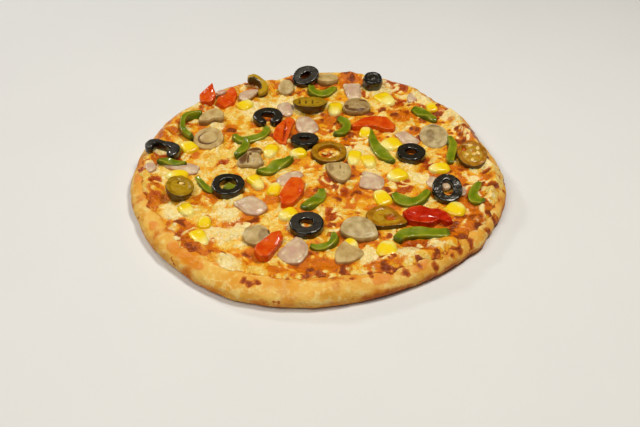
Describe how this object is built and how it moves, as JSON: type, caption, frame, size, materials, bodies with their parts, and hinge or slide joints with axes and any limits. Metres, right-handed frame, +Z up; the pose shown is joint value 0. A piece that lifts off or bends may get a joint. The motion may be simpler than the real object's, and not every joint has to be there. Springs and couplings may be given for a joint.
{
  "type": "vegetarian pizza",
  "caption": "Small round pizza: raised crust, melted cheese with sweetcorn, and loose olive rings, pepper, onion, tomato, mushroom and jalapeno slices.",
  "frame": {"origin": "centre of the flat underside, on the surface that the pizza lies on", "axes": "+Z up through the pizza's thickness, +Y away from the side seen first in the picture, +X to its right"},
  "size_m": [0.2044, 0.2061, 0.0179],
  "materials": {
    "crust": "baked dough, dry and matt, pale gold with brown blisters",
    "cheese": "melted cheese, softly glossy, cream to gold with browned spots",
    "pepper": "green pepper skin and flesh, moist and glossy",
    "onion": "cooked onion, pale and slightly translucent",
    "tomato": "tomato skin, glossy orange-red",
    "mushroom": "cooked mushroom, tan and satin",
    "jalapeno": "pickled jalapeno, olive green and moist",
    "olive": "black olive, near black and glossy"
  },
  "bodies": {
    "root": {"cheese": "cheese", "crust": "crust", "jalapeno_back": "jalapeno", "jalapeno_center": "jalapeno", "jalapeno_front_right": "jalapeno", "jalapeno_left": "jalapeno", "jalapeno_mid_back": "jalapeno", "jalapeno_right": "jalapeno", "mushroom_back": "mushroom", "mushroom_back_left": "mushroom", "mushroom_back_right": "mushroom", "mushroom_center": "mushroom", "mushroom_front": "mushroom", "mushroom_front_left": "mushroom", "mushroom_front_right": "mushroom", "mushroom_left_disc": "mushroom", "mushroom_left_upper": "mushroom", "mushroom_right_disc": "mushroom", "mushroom_tee": "mushroom", "olive_back": "olive", "olive_end": "olive", "olive_front": "olive", "olive_left": "olive", "olive_mid_back": "olive", "olive_mid_left": "olive", "olive_mid_right": "olive", "olive_right": "olive", "olive_side": "olive", "onion_back_left": "onion", "onion_back_mid": "onion", "onion_back_right": "onion", "onion_center": "onion", "onion_center_right": "onion", "onion_front": "onion", "onion_left": "onion", "onion_mid": "onion", "onion_mid_left": "onion", "onion_mid_right": "onion", "pepper_back": "pepper", "pepper_center_back": "pepper", "pepper_center_small": "pepper", "pepper_crescent": "pepper", "pepper_front_curl": "pepper", "pepper_front_right": "pepper", "pepper_left_small": "pepper", "pepper_left_upper": "pepper", "pepper_mid": "pepper", "pepper_right_back": "pepper", "pepper_right_c": "pepper", "pepper_right_mid": "pepper", "pepper_right_u": "pepper", "pepper_vee_a": "pepper", "pepper_vee_b": "pepper", "tomato_back_left_a": "tomato", "tomato_back_left_b": "tomato", "tomato_center": "tomato", "tomato_front": "tomato", "tomato_front_right": "tomato", "tomato_mid": "tomato", "tomato_right_back": "tomato"}
  },
  "joints": []
}
